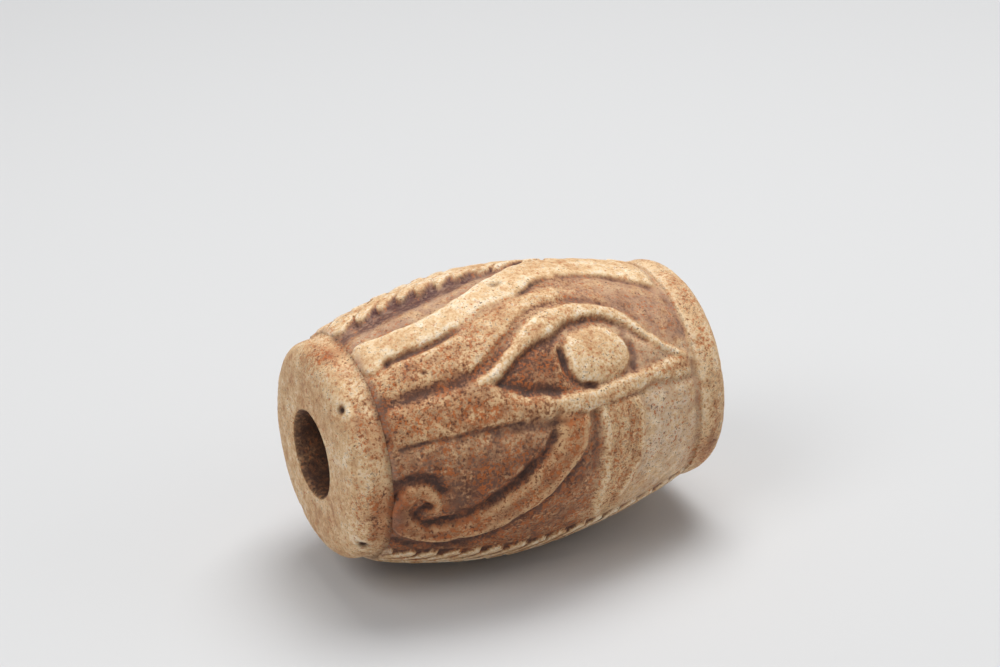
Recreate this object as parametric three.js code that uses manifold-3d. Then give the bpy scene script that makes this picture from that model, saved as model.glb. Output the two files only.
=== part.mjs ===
// Eye bead: a large barrel bead of soft stone, carved all round in low relief and pierced from end to end.
// Millimetres. X runs along the string hole towards the far end, Z is up as the bead lies on its flat spot,
// and the origin is on the axis of the hole at mid-length.
// Two eyes face away from each other, with twisted rope borders between them: the second eye panel
// is the first one turned half round the hole.

import * as THREE from "three";
import { mergeVertices } from "three/addons/utils/BufferGeometryUtils.js";
import Module from "manifold-3d";

// Barrel and collars
const beadLength = 40;
const bellyRadius = 14.2;
const bellyPlace = -2.1;
const nearShoulderRadius = 11.1;
const farShoulderRadius = 11.1;
const barrelFullness = 1.77;
const nearCollarLength = 2.9;
const nearCollarRadius = 10.6;
const farCollarLength = 3.6;
const farCollarRadius = 10.95;
const collarFullness = 3.3;

// String hole, drilled from both ends, with a worn mouth and a flat ring round it
const mouthRadius = 4.4;
const mouthDepth = 0.6;
const boreEndRadius = 4.05;
const boreWaistRadius = 3.4;
const ringWidth = 0.9;

// Flat spot that keeps the bead from rolling
const flatDepth = 0.36;

// Carving: depth of the ground under the highest forms, and how their sides and tops are rounded
const reliefDepth = 0.65;
const templeHeight = 0.45;
const cheekMarkHeight = 0.45;
const rootDepth = 0.5;
const wallFlare = 0.3;
const edgeDrop = 0.2;

// Rope borders
const ropePitch = 2.1;
const strandWidth = 1.6;
const ropeLean = 4.2;
const strandDrop = 0.15;
const shortestStrandShare = 0.2;
const strandBend = 0.08;
const strandTipShare = 0.35;
const browRowStartDegrees = 96;
const cheekRowStartDegrees = -60.5;
const rowSpanDegrees = 20.5;
const browClearanceDegrees = 3;
const collarClearancePercent = 0.5;

// Fineness of the facets
const roundSegments = 36;
const barrelSteps = 9;
const collarSteps = 4;
const irisSegments = 20;
const strandSteps = 3;
const weldDistance = 0.0001;

const stoneColor = 0xc39c79;
const stoneRoughness = 0.78;

const panelStart = -beadLength / 2 + nearCollarLength;
const panelEnd = beadLength / 2 - farCollarLength;
const panelLength = panelEnd - panelStart;

// The carving is drawn flat on one panel: percent of the panel's length from the near collar to the far one,
// and degrees round the bead from the middle of the panel's front, with 90 at the top.
// Bands along the bead are rows of [percent, lower edge, upper edge].
const brow = [
  [1.5, 65, 75], [3, 60.5, 79], [6, 60, 78.8], [8.5, 63.5, 78], [15, 64, 77], [21, 64.5, 77.2],
  [27, 65.5, 78], [33, 67.5, 80.5], [39, 70.5, 84], [45, 72, 88], [51, 73.5, 92], [58, 78.5, 98],
  [64, 81, 102], [70, 83, 105], [77, 82.5, 107], [84, 80.5, 107], [91, 76, 105.5], [96, 73, 104],
  [98.5, 77, 99],
];
const temple = [
  [2.5, 47, 58], [9, 45.5, 60.5], [21, 45.5, 61.5], [30, 46.5, 63.5], [36, 50, 67], [42, 56, 69],
  [48, 61, 70.5], [56, 65.5, 74], [64, 68, 76],
];
const cosmeticLine = [
  [2.5, 26, 36], [4.5, 22, 40.5], [14, 21.5, 41], [27, 21.5, 41], [32, 21.5, 40.5], [35, 21.5, 37],
  [42, 20.5, 31], [48, 19.5, 29], [53, 20, 27.5],
];
const upperLid = [
  [29, 38, 42], [34.5, 38.5, 44], [39, 42.5, 48.5], [45, 47.5, 55], [51, 50.5, 60], [57, 53, 63],
  [63, 56, 64.3], [69, 57, 64.3], [75, 54.5, 62], [79.5, 49.5, 58], [83, 44.5, 52], [87.5, 38.5, 44.5],
  [91, 35, 40], [94, 32, 36.5], [97.5, 29, 34],
];
const lowerLid = [
  [44, 22, 28.5], [54, 19.5, 27.5], [60, 18.8, 27], [66, 19, 27], [75, 20.5, 28.5], [80, 22.3, 30],
  [84, 23.5, 30.8], [88, 22.8, 32], [93, 22, 33], [98, 21.8, 32.5],
];
// The mark on the cheek hangs down, as rows of [degrees, near edge, far edge].
const cheekMark = [
  [19.5, 63, 77], [10, 63.5, 78], [0, 63.5, 77.5], [-10, 62.5, 76.5], [-20, 61.5, 75],
  [-30, 62, 72], [-38.5, 63, 72],
];
// The arm of the spiral runs down and back from the lower lid, as rows of [percent, degrees, half width in mm].
const spiralArm = [
  [55, 19.5, 1.7], [52.5, 9, 1.65], [47.5, 0.3, 1.65], [41.5, -7.3, 1.65], [35.3, -13.3, 1.65],
  [28, -19, 1.65], [21, -22.5, 1.55], [14.5, -24.4, 1.4],
];
// The curl turns in on this place; its radius shrinks from the bottom on, and it is slimmer than it is high.
const curlPlace = [8.7, -10];
const curlStartRadius = 2.7;
const curlEndRadius = 1.5;
const curlSlimness = 0.8;
const curlHalfWidth = 0.8;
const curlEndHalfWidth = 0.4;
const curlTurnDegrees = 290;
const curlSteps = 9;

const irisPlace = [67.2, 40.3];
const irisHalfLength = 3.5;
const irisHalfHeightDegrees = 12.5;
// The iris in section: share of its half width, and depth under its crown. Its side spreads into the ground.
const irisSpread = 1.06;
const irisSection = [[1, 0.42], [0.85, 0.2], [0.5, 0.05], [0, 0]];

const wasm = await Module();
wasm.setup();

// Radius of the highest carved forms at a distance x from mid-length.
function envelopeRadius(x) {
  const nearSide = x < bellyPlace;
  const side = nearSide ? bellyPlace - panelStart : panelEnd - bellyPlace;
  const shoulder = nearSide ? nearShoulderRadius : farShoulderRadius;
  const reach = Math.min(Math.abs(x - bellyPlace) / side, 1);
  return bellyRadius - (bellyRadius - shoulder) * reach ** barrelFullness;
}

function millimetresPerPercent() {
  return panelLength / 100;
}

function millimetresPerDegree(percent) {
  const x = panelStart + percent * millimetresPerPercent();
  return THREE.MathUtils.degToRad(envelopeRadius(x));
}

// Lays a drawn form on the barrel: x is percent, y is degrees and z is height above the ground.
function layOnBarrel(geometry) {
  const position = geometry.attributes.position;
  for (let i = 0; i < position.count; i++) {
    const x = panelStart + position.getX(i) * millimetresPerPercent();
    const angle = THREE.MathUtils.degToRad(position.getY(i));
    const radius = envelopeRadius(x) - reliefDepth + position.getZ(i);
    position.setXYZ(i, x, -radius * Math.cos(angle), radius * Math.sin(angle));
  }
  return geometry;
}

function signedVolume(position, index) {
  const a = new THREE.Vector3();
  const b = new THREE.Vector3();
  const c = new THREE.Vector3();
  let sum = 0;
  for (let i = 0; i < index.length; i += 3) {
    a.fromBufferAttribute(position, index[i]);
    b.fromBufferAttribute(position, index[i + 1]);
    c.fromBufferAttribute(position, index[i + 2]);
    sum += a.dot(b.cross(c)) / 6;
  }
  return sum;
}

// A closed skin over rows of section points, with a flat cap at each end, facing outwards.
function skin(sections) {
  const size = sections[0].length;
  const position = new THREE.Float32BufferAttribute(sections.flat(2), 3);
  const index = [];
  for (let i = 0; i < sections.length - 1; i++) {
    for (let j = 0; j < size; j++) {
      const here = i * size + j;
      const beside = i * size + (j + 1) % size;
      index.push(here, beside, beside + size, here, beside + size, here + size);
    }
  }
  const last = (sections.length - 1) * size;
  for (let j = 1; j < size - 1; j++) {
    index.push(0, j + 1, j, last, last + j, last + j + 1);
  }
  if (signedVolume(position, index) < 0) {
    index.reverse();
  }
  const geometry = new THREE.BufferGeometry();
  geometry.setAttribute("position", position);
  geometry.setIndex(index);
  return geometry;
}

function edgeCurve(points) {
  return new THREE.CatmullRomCurve3(points.map(([percent, degrees]) => new THREE.Vector3(percent, degrees, 0)));
}

// A carved band between two edges, level along its length and rounded over towards both edges.
// Its sides spread a little and run down into the ground.
function band(firstEdge, secondEdge, { steps, across = 3, height = reliefDepth, drop = edgeDrop }) {
  const first = edgeCurve(firstEdge);
  const second = edgeCurve(secondEdge);
  const sections = [];
  for (let i = 0; i <= steps; i++) {
    const from = first.getPoint(i / steps);
    const to = second.getPoint(i / steps);
    const width = Math.hypot(
      (to.x - from.x) * millimetresPerPercent(),
      (to.y - from.y) * millimetresPerDegree(from.x),
    );
    const spread = wallFlare / width;
    const section = [];
    const put = (share, z) => section.push([
      THREE.MathUtils.lerp(from.x, to.x, share),
      THREE.MathUtils.lerp(from.y, to.y, share),
      z,
    ]);
    put(-spread, -rootDepth);
    for (let j = 0; j <= across; j++) {
      const share = j / across;
      put(share, height - drop * (2 * share - 1) ** 2);
    }
    put(1 + spread, -rootDepth);
    sections.push(section);
  }
  return layOnBarrel(skin(sections));
}

function bandAlong(rows, options) {
  const lower = rows.map(([percent, low]) => [percent, low]);
  const upper = rows.map(([percent, , high]) => [percent, high]);
  return band(lower, upper, options);
}

function bandRound(rows, options) {
  const near = rows.map(([degrees, start]) => [start, degrees]);
  const far = rows.map(([degrees, , end]) => [end, degrees]);
  return band(near, far, options);
}

// Centre line and half widths of the spiral: its arm, then a curl that closes in on its own centre.
function spiralRows() {
  const rows = [...spiralArm];
  const [curlPercent, curlDegrees] = curlPlace;
  const armHalfWidth = spiralArm.at(-1)[2];
  for (let i = 1; i <= curlSteps; i++) {
    const share = i / curlSteps;
    const turned = THREE.MathUtils.degToRad(curlTurnDegrees * share);
    const radius = THREE.MathUtils.lerp(curlStartRadius, curlEndRadius, share);
    const neck = THREE.MathUtils.lerp(armHalfWidth, curlHalfWidth, Math.min(3 * share, 1));
    rows.push([
      curlPercent - curlSlimness * radius * Math.sin(turned) / millimetresPerPercent(),
      curlDegrees - radius * Math.cos(turned) / millimetresPerDegree(curlPercent),
      THREE.MathUtils.lerp(neck, curlEndHalfWidth, share ** 4),
    ]);
  }
  return rows;
}

// The band whose edges stand off a centre line by its half widths, square to it on the surface.
function bandOnCentreLine(rows, options) {
  const near = [];
  const far = [];
  rows.forEach(([percent, degrees, halfWidth], i) => {
    const before = rows[Math.max(i - 1, 0)];
    const after = rows[Math.min(i + 1, rows.length - 1)];
    const alongX = (after[0] - before[0]) * millimetresPerPercent();
    const alongRound = (after[1] - before[1]) * millimetresPerDegree(percent);
    const length = Math.hypot(alongX, alongRound);
    const sideX = -alongRound / length * halfWidth / millimetresPerPercent();
    const sideRound = alongX / length * halfWidth / millimetresPerDegree(percent);
    near.push([percent + sideX, degrees + sideRound]);
    far.push([percent - sideX, degrees - sideRound]);
  });
  return band(near, far, options);
}

// The eyeball: a low dome on an oval, with its root in the ground.
function iris() {
  const halfLength = irisHalfLength / millimetresPerPercent();
  const profile = [
    new THREE.Vector2(0, -rootDepth),
    new THREE.Vector2(irisSpread, -rootDepth),
    ...irisSection.map(([share, depth]) => new THREE.Vector2(share, reliefDepth - depth)),
  ];
  const geometry = new THREE.LatheGeometry(profile, irisSegments);
  geometry.rotateX(Math.PI / 2);
  geometry.scale(halfLength, irisHalfHeightDegrees, 1);
  geometry.translate(irisPlace[0], irisPlace[1], 0);
  return layOnBarrel(geometry);
}

// Height in degrees of the brow's upper edge at a percentage of the panel.
function browTop(percent) {
  const next = brow.findIndex(([place]) => place > percent);
  if (next <= 0) {
    return next < 0 ? brow.at(-1)[2] : brow[0][2];
  }
  const [startPlace, , startTop] = brow[next - 1];
  const [endPlace, , endTop] = brow[next];
  return THREE.MathUtils.mapLinear(percent, startPlace, endPlace, startTop, endTop);
}

// One strand of rope leaning across its row, narrower at both tips.
function strand(startPercent, lowDegrees, leanPercent, shareFrom, shareTo) {
  const near = [];
  const far = [];
  for (let i = 0; i <= strandSteps; i++) {
    const share = THREE.MathUtils.lerp(shareFrom, shareTo, i / strandSteps);
    const percent = startPercent + leanPercent * (share - strandBend * Math.sin(2 * Math.PI * share));
    const degrees = lowDegrees + rowSpanDegrees * share;
    const fullness = THREE.MathUtils.lerp(strandTipShare, 1, Math.sqrt(Math.sin(Math.PI * share)));
    const halfWidth = strandWidth / 2 * fullness / millimetresPerPercent();
    near.push([percent - halfWidth, degrees]);
    far.push([percent + halfWidth, degrees]);
  }
  return band(near, far, { steps: strandSteps, across: 1, drop: strandDrop });
}

// A row of rope strands from its low edge upwards. Strands that would run into a collar are cut short.
function ropeRow(lowDegrees, followsBrow) {
  const pitch = ropePitch / millimetresPerPercent();
  const lean = ropeLean / millimetresPerPercent();
  const margin = strandWidth / 2 / millimetresPerPercent() + collarClearancePercent;
  const firstStart = margin - Math.floor(lean / pitch) * pitch;
  const strands = [];
  for (let start = firstStart; start < 100 - margin; start += pitch) {
    const shareTo = Math.min((100 - margin - start) / lean, 1);
    const browReach = followsBrow ? browTop(start + lean / 4) + browClearanceDegrees - lowDegrees : 0;
    const shareFrom = Math.max((margin - start) / lean, browReach / rowSpanDegrees, 0);
    if (shareTo - shareFrom > shortestStrandShare) {
      strands.push(strand(start, lowDegrees, lean, shareFrom, shareTo));
    }
  }
  return strands;
}

// Outline of a collar from its flat ring to the ridge beside the carving,
// as rows of [distance in from the end, radius].
function collarOutline(collarLength, collarRadius) {
  const ringRadius = mouthRadius + ringWidth;
  const outline = [[0, mouthRadius]];
  for (let i = 0; i <= collarSteps; i++) {
    const angle = Math.PI / 2 * i / collarSteps;
    const outwards = Math.sin(angle) ** (2 / collarFullness);
    const inwards = 1 - Math.max(Math.cos(angle), 0) ** (2 / collarFullness);
    outline.push([collarLength * inwards, ringRadius + (collarRadius - ringRadius) * outwards]);
  }
  outline.at(-1)[0] = collarLength;
  return outline;
}

// The turned body: collars, the sunk ground of the carving, and the string hole.
function body() {
  const end = beadLength / 2;
  const nearOutline = collarOutline(nearCollarLength, nearCollarRadius);
  const farOutline = collarOutline(farCollarLength, farCollarRadius).reverse();
  const nearCollar = nearOutline.map(([inwards, radius]) => [inwards - end, radius]);
  const farCollar = farOutline.map(([inwards, radius]) => [end - inwards, radius]);
  const ground = [];
  for (let i = 0; i <= barrelSteps; i++) {
    const x = THREE.MathUtils.lerp(panelStart, panelEnd, i / barrelSteps);
    ground.push([x, envelopeRadius(x) - reliefDepth]);
  }
  const hole = [
    [end - mouthDepth, boreEndRadius], [0, boreWaistRadius], [mouthDepth - end, boreEndRadius],
  ];
  const outline = [...nearCollar, ...ground, ...farCollar, ...hole, nearCollar[0]];
  const profile = outline.map(([x, radius]) => new THREE.Vector2(radius, x));
  return new THREE.LatheGeometry(profile, roundSegments).rotateZ(-Math.PI / 2);
}

// One eye with everything that belongs to its side of the bead.
function eyePanel() {
  return [
    bandAlong(brow, { steps: 18, across: 4 }),
    bandAlong(temple, { steps: 8, across: 2, height: templeHeight, drop: edgeDrop / 2 }),
    bandAlong(cosmeticLine, { steps: 9, across: 3 }),
    bandAlong(upperLid, { steps: 18, across: 2 }),
    bandAlong(lowerLid, { steps: 10, across: 2 }),
    iris(),
    bandRound(cheekMark, { steps: 7, across: 2, height: cheekMarkHeight, drop: edgeDrop / 2 }),
    bandOnCentreLine(spiralRows(), { steps: 28, across: 2 }),
    ...ropeRow(browRowStartDegrees, true),
    ...ropeRow(cheekRowStartDegrees, false),
  ];
}

function solidFrom(geometry) {
  const plain = geometry.clone();
  plain.deleteAttribute("normal");
  plain.deleteAttribute("uv");
  const merged = mergeVertices(plain, weldDistance);
  return new wasm.Manifold(new wasm.Mesh({
    numProp: 3,
    vertProperties: new Float32Array(merged.attributes.position.array),
    triVerts: new Uint32Array(merged.index.array),
  }));
}

function geometryFrom(solid) {
  const mesh = solid.getMesh();
  const geometry = new THREE.BufferGeometry();
  geometry.setAttribute("position", new THREE.BufferAttribute(mesh.vertProperties, mesh.numProp));
  geometry.setIndex(new THREE.BufferAttribute(mesh.triVerts, 1));
  geometry.computeVertexNormals();
  return geometry;
}

// The block below the flat spot, taken off the underside.
function flatCut() {
  const depth = bellyRadius;
  const block = new THREE.BoxGeometry(beadLength, 2 * bellyRadius, depth);
  return block.translate(0, 0, flatDepth - bellyRadius - depth / 2);
}

function beadGeometry() {
  const forms = eyePanel();
  const turned = forms.map((form) => form.clone().rotateX(Math.PI));
  const carving = [...forms, ...turned].map(solidFrom);
  const carved = carving.reduce((solid, form) => solid.add(form), solidFrom(body()));
  return geometryFrom(carved.subtract(solidFrom(flatCut())));
}

const stone = new THREE.MeshStandardMaterial({ color: stoneColor, roughness: stoneRoughness, metalness: 0 });
const bead = new THREE.Mesh(beadGeometry(), stone);
bead.name = "bead";

const eyeBead = new THREE.Group();
eyeBead.add(bead);

export default eyeBead;
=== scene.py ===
"""Looks of the eye bead: a large barrel bead of soft stone with an eye carved on each side.

The bead is one piece of stone, so its looks are one closed mesh: the turned outline carried round
the string hole, with the carving as a height field on it. Sizes are in millimetres until a mesh is made.
The carving is drawn flat, in percent of the panel between the collars and degrees round the bead.
"""

import logging
from dataclasses import dataclass
from enum import Enum

import bpy
import numpy as np
from mathutils import Matrix, Vector


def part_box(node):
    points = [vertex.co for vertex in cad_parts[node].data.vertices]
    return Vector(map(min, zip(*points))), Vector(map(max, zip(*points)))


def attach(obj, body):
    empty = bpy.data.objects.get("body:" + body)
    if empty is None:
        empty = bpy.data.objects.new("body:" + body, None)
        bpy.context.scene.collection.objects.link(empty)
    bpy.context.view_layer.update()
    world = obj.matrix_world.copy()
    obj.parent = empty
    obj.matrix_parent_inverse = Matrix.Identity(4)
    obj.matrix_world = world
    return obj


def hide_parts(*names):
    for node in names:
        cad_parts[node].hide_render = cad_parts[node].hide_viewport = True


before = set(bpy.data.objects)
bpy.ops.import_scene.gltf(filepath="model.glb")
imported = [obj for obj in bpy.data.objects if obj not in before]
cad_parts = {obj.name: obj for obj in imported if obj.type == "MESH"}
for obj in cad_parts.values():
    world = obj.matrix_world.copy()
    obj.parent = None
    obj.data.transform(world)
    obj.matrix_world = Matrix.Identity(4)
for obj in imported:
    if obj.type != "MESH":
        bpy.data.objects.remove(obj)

MM = 0.001
log = logging.getLogger("eye_bead")


def smooth_step(low: float, high: float, value: np.ndarray) -> np.ndarray:
    """Soft step from 0 at low to 1 at high: three times the square less twice the cube."""
    share = np.clip((value - low) / (high - low), 0.0, 1.0)
    return share * share * (3.0 - 2.0 * share)


def blend(start: np.ndarray, end: np.ndarray, share: np.ndarray) -> np.ndarray:
    """The value that lies a share of the way from start to end."""
    return start + (end - start) * share


def corner_values(cells: np.ndarray, seed: int) -> np.ndarray:
    """Even random values for whole-number cells.

    The three whole numbers are mixed by odd multipliers and shifts, and the result is spread over
    minus one to one.

    Args:
        cells: Whole numbers, with the last axis holding the three coordinates.
        seed: Picks one pattern out of many.

    Returns:
        One value for each cell.
    """
    mixed = cells.astype(np.int64).astype(np.uint32)
    value = mixed[..., 0] * np.uint32(374761393) + mixed[..., 1] * np.uint32(668265263)
    value = value + mixed[..., 2] * np.uint32(2246822519) + np.uint32(seed * 3266489917 % 2**32)
    value = (value ^ (value >> np.uint32(13))) * np.uint32(1274126177)
    value = (value ^ (value >> np.uint32(15))) * np.uint32(2246822519)
    value = value ^ (value >> np.uint32(16))
    return value.astype(np.float64) / 2**31 - 1.0


def value_noise(places: np.ndarray, cell: float, seed: int) -> np.ndarray:
    """Smooth noise in space: the eight corner values of a cell, blended by soft steps.

    Args:
        places: Points, with the last axis holding x, y and z in millimetres.
        cell: Width of one cell in millimetres.
        seed: Picks one pattern out of many.

    Returns:
        Values between minus one and one.
    """
    scaled = places / cell
    floor = np.floor(scaled)
    share = scaled - floor
    share = share * share * (3.0 - 2.0 * share)
    total = np.zeros(places.shape[:-1])
    for corner in np.ndindex(2, 2, 2):
        weight = np.prod(np.where(np.array(corner) == 1, share, 1.0 - share), axis=-1)
        total += weight * corner_values(floor + np.array(corner), seed)
    return total


def layered_noise(places: np.ndarray, cell: float, layers: int, seed: int) -> np.ndarray:
    """Noise of several grain sizes: each layer has half the cell and half the strength of the last."""
    total = np.zeros(places.shape[:-1])
    for layer in range(layers):
        total += value_noise(places, cell / 2**layer, seed + layer) / 2**layer
    return total


def noise_sum(places: np.ndarray, rows: tuple) -> np.ndarray:
    """Sum of noises, given as rows of strength, cell, layers and seed."""
    return sum(strength * layered_noise(places, cell, layers, seed) for strength, cell, layers, seed in rows)


def soften(values: np.ndarray, reach: int) -> np.ndarray:
    """Blurs a grid whose second axis closes on itself, by weights that fall off as a bell curve.

    Args:
        values: Grid of rings by columns.
        reach: Number of neighbours on each side that count.

    Returns:
        The blurred grid.
    """
    steps = np.arange(-reach, reach + 1)
    weights = np.exp(-2.0 * (steps / reach) ** 2)
    weights /= weights.sum()
    around = sum(weight * np.roll(values, step, axis=1) for weight, step in zip(weights, steps))
    padded = np.pad(around, ((reach, reach), (0, 0)), mode="edge")
    rows = len(values)
    return sum(weight * padded[start:start + rows] for start, weight in enumerate(weights))


def smooth_line(points: list[tuple[float, float]], count: int) -> np.ndarray:
    """A smooth line through a few points. Each stretch is a cubic with slopes from the points beside it.

    Args:
        points: Chosen points of percent and degrees.
        count: Number of points that the line gets.

    Returns:
        Array of count rows.
    """
    chosen = np.array(points, float)
    before = np.vstack([2.0 * chosen[0] - chosen[1], chosen, 2.0 * chosen[-1] - chosen[-2]])
    place = np.linspace(0.0, len(chosen) - 1.0, count)
    start = np.minimum(place.astype(int), len(chosen) - 2)
    share = (place - start)[:, None]
    a, b, c, d = (before[start + offset] for offset in range(4))
    slope = c - a
    bend = 2.0 * a - 5.0 * b + 4.0 * c - d
    twist = 3.0 * (b - c) + d - a
    return b + 0.5 * (slope * share + bend * share**2 + twist * share**3)


@dataclass(frozen=True)
class BeadForm:
    """The turned form of the bead. Its length and the level of its flat spot come from the frame."""

    half_length: float
    flat_level: float
    belly_radius: float = 14.2
    belly_place: float = -2.1
    shoulder_radius: float = 11.1
    barrel_fullness: float = 1.77
    near_collar_length: float = 2.9
    near_collar_radius: float = 10.6
    far_collar_length: float = 3.6
    far_collar_radius: float = 10.95
    collar_fullness: float = 3.3
    mouth_radius: float = 4.4
    mouth_flare: float = 0.45
    bore_waist_radius: float = 3.4
    ring_width: float = 0.9

    @classmethod
    def from_frame(cls) -> "BeadForm":
        """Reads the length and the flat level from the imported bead's box."""
        low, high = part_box("bead")
        return cls(half_length=high.x / MM, flat_level=low.z / MM)

    @property
    def panel_start(self) -> float:
        """Where the carving starts beside the near collar."""
        return self.near_collar_length - self.half_length

    @property
    def panel_end(self) -> float:
        """Where the carving ends beside the far collar."""
        return self.half_length - self.far_collar_length

    @property
    def per_percent(self) -> float:
        """Millimetres in one percent of the panel."""
        return (self.panel_end - self.panel_start) / 100.0

    def envelope(self, x: np.ndarray) -> np.ndarray:
        """Radius of the highest carved forms: the belly's, less a power of the distance from the belly."""
        near_side = self.belly_place - self.panel_start
        far_side = self.panel_end - self.belly_place
        side = np.where(x < self.belly_place, near_side, far_side)
        reach = np.clip(np.abs(x - self.belly_place) / side, 0.0, 1.0)
        return self.belly_radius - (self.belly_radius - self.shoulder_radius) * reach**self.barrel_fullness

    def collar(self, length: float, radius: float, steps: int) -> tuple[np.ndarray, np.ndarray]:
        """One collar's outline, from the hole's mouth over the flat ring and the full face to its ridge.

        The face is a quarter of a superellipse: sine and cosine raised to two over the fullness.

        Args:
            length: Length of the collar along the bead.
            radius: Radius of its ridge.
            steps: Number of points on the curved face.

        Returns:
            Distances in from the end, and radii.
        """
        ring = self.mouth_radius + self.ring_width
        angle = np.linspace(0.0, np.pi / 2.0, steps)
        power = 2.0 / self.collar_fullness
        inwards = length * (1.0 - np.clip(np.cos(angle), 0.0, 1.0) ** power)
        outwards = ring + (radius - ring) * np.sin(angle) ** power
        flat = np.linspace(self.mouth_radius, ring, 5)[:-1]
        return np.concatenate([np.zeros(len(flat)), inwards]), np.concatenate([flat, outwards])

    def bore(self, steps: int) -> tuple[np.ndarray, np.ndarray]:
        """The string hole's outline from the far mouth to the near one.

        The radius grows evenly from the waist to both ends, and flares over the last half millimetre.
        """
        end = self.half_length
        share = np.sin(np.linspace(np.pi / 2.0, -np.pi / 2.0, steps + 2)[1:-1])
        x = end * share
        straight = blend(self.bore_waist_radius, self.mouth_radius - self.mouth_flare, np.abs(share))
        return x, straight + self.mouth_flare * np.exp(-(end - np.abs(x)) / self.mouth_flare)


class Part(Enum):
    """The stretches of the closed outline."""

    NEAR_COLLAR = 0
    PANEL = 1
    FAR_COLLAR = 2
    BORE = 3


@dataclass(frozen=True)
class Outline:
    """The closed outline that is carried round the hole, as rings of the mesh."""

    x: np.ndarray
    radius: np.ndarray
    part: np.ndarray

    @classmethod
    def of(cls, form: BeadForm, panel_rings: int, face_rings: int, bore_rings: int) -> "Outline":
        """Joins the near collar, the panel, the far collar and the bore into one closed line."""
        near_in, near_radius = form.collar(form.near_collar_length, form.near_collar_radius, face_rings)
        far_in, far_radius = form.collar(form.far_collar_length, form.far_collar_radius, face_rings)
        near_x = near_in - form.half_length
        far_x = form.half_length - far_in
        share = np.linspace(0.0, 1.0, panel_rings + 2)[1:-1]
        crowded = share - 0.5 * np.sin(2.0 * np.pi * share) / (2.0 * np.pi)
        panel_x = blend(form.panel_start, form.panel_end, crowded)
        bore_x, bore_radius = form.bore(bore_rings)
        parts = (near_x, panel_x, far_x[::-1], bore_x)
        radii = (near_radius, form.envelope(panel_x), far_radius[::-1], bore_radius)
        names = np.concatenate([np.full(len(x), part.value) for x, part in zip(parts, Part)])
        return cls(np.concatenate(parts), np.concatenate(radii), names)

    def normals(self) -> tuple[np.ndarray, np.ndarray]:
        """Outward direction at each ring, square to the line through its two neighbours."""
        along = np.roll(self.x, -1) - np.roll(self.x, 1)
        out = np.roll(self.radius, -1) - np.roll(self.radius, 1)
        length = np.hypot(along, out)
        return -out / length, along / length


@dataclass(frozen=True)
class PanelField:
    """The places of all mesh points on the two carved panels, in the flat drawing's own measures."""

    percent: np.ndarray
    degrees: np.ndarray
    per_percent: float
    per_degree: np.ndarray
    wear: np.ndarray

    def distance(self, line: np.ndarray, closed: bool) -> tuple[np.ndarray, np.ndarray]:
        """Distance of every point from a line, and whether it is inside where the line is closed.

        The nearest place on each stretch comes from the dot product, kept between its ends. A point is
        inside where a ray along the panel crosses the line an odd number of times.

        Args:
            line: Rows of percent and degrees.
            closed: Whether the last point joins the first.

        Returns:
            Distances in millimetres, and true where a point is inside.
        """
        ends = np.vstack([line, line[:1]]) if closed else line
        nearest = np.full(self.percent.shape, np.inf)
        inside = np.zeros(self.percent.shape, bool)
        for start, end in zip(ends[:-1], ends[1:]):
            ax = (start[0] - self.percent) * self.per_percent
            ay = (start[1] - self.degrees) * self.per_degree
            dx = (end[0] - start[0]) * self.per_percent
            dy = (end[1] - start[1]) * self.per_degree
            share = np.clip(-(ax * dx + ay * dy) / (dx * dx + dy * dy + 1e-12), 0.0, 1.0)
            nearest = np.minimum(nearest, (ax + share * dx) ** 2 + (ay + share * dy) ** 2)
            crosses = (ay > 0.0) != (ay + dy > 0.0)
            inside ^= crosses & (ax - ay * dx / np.where(crosses, dy, 1.0) > 0.0)
        return np.sqrt(nearest), inside


@dataclass(frozen=True)
class CarvedForm:
    """A raised form of the carving, given by its closed outline."""

    outline: np.ndarray
    level: float = 0.0
    shoulder: float = 0.22
    shoulder_width: float = 1.0
    wall: float = 0.45
    groove: float = 0.12
    groove_width: float = 0.45
    redness: float = 0.3
    tone: float = 0.0


@dataclass(frozen=True)
class ScoredLine:
    """A cut line, painted dark as dirt and painted shade, or, where both values are negative, a fine ridge
    painted pale as wear and a painted highlight.
    """

    points: list[tuple[float, float]]
    depth: float
    width: float
    shade: float = 0.3


@dataclass(frozen=True)
class Relief:
    """What the carving gives at every point: height against the envelope, and what its colour follows."""

    height: np.ndarray
    raised: np.ndarray
    redness: np.ndarray
    tone: np.ndarray
    mauve: np.ndarray
    shade: np.ndarray


@dataclass(frozen=True)
class RopeRow:
    """One row of rope strands: their rise, the gaps between them, painted dark as painted shade, and their
    worn ends, painted pale as wear and a painted highlight.
    """

    rise: np.ndarray
    gaps: np.ndarray
    crests: np.ndarray


@dataclass(frozen=True)
class Patch:
    """A patch of the drawing with soft edges, and what it adds to the depth and colour there.

    Each pair says where an edge begins and where the patch is full. The pairs in past_line are degrees
    measured from a line, which is straight between its points of percent and degrees.
    """

    percent: tuple[tuple[float, float], ...] = ()
    degrees: tuple[tuple[float, float], ...] = ()
    line: tuple[tuple[float, float], ...] = ((0.0, 0.0),)
    past_line: tuple[tuple[float, float], ...] = ()
    depth: float = 0.0
    redness: float = 0.0
    tone: float = 0.0
    mauve: float = 0.0

    def share(self, field: PanelField) -> np.ndarray:
        """How far each point lies in the patch: the product of its soft steps."""
        past = field.degrees - np.interp(field.percent, *np.array(self.line, float).T)
        share = np.ones_like(past)
        for steps, value in (
            (self.percent, field.percent), (self.degrees, field.degrees), (self.past_line, past),
        ):
            for begins, full in steps:
                share = share * smooth_step(begins, full, value)
        return share
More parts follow.
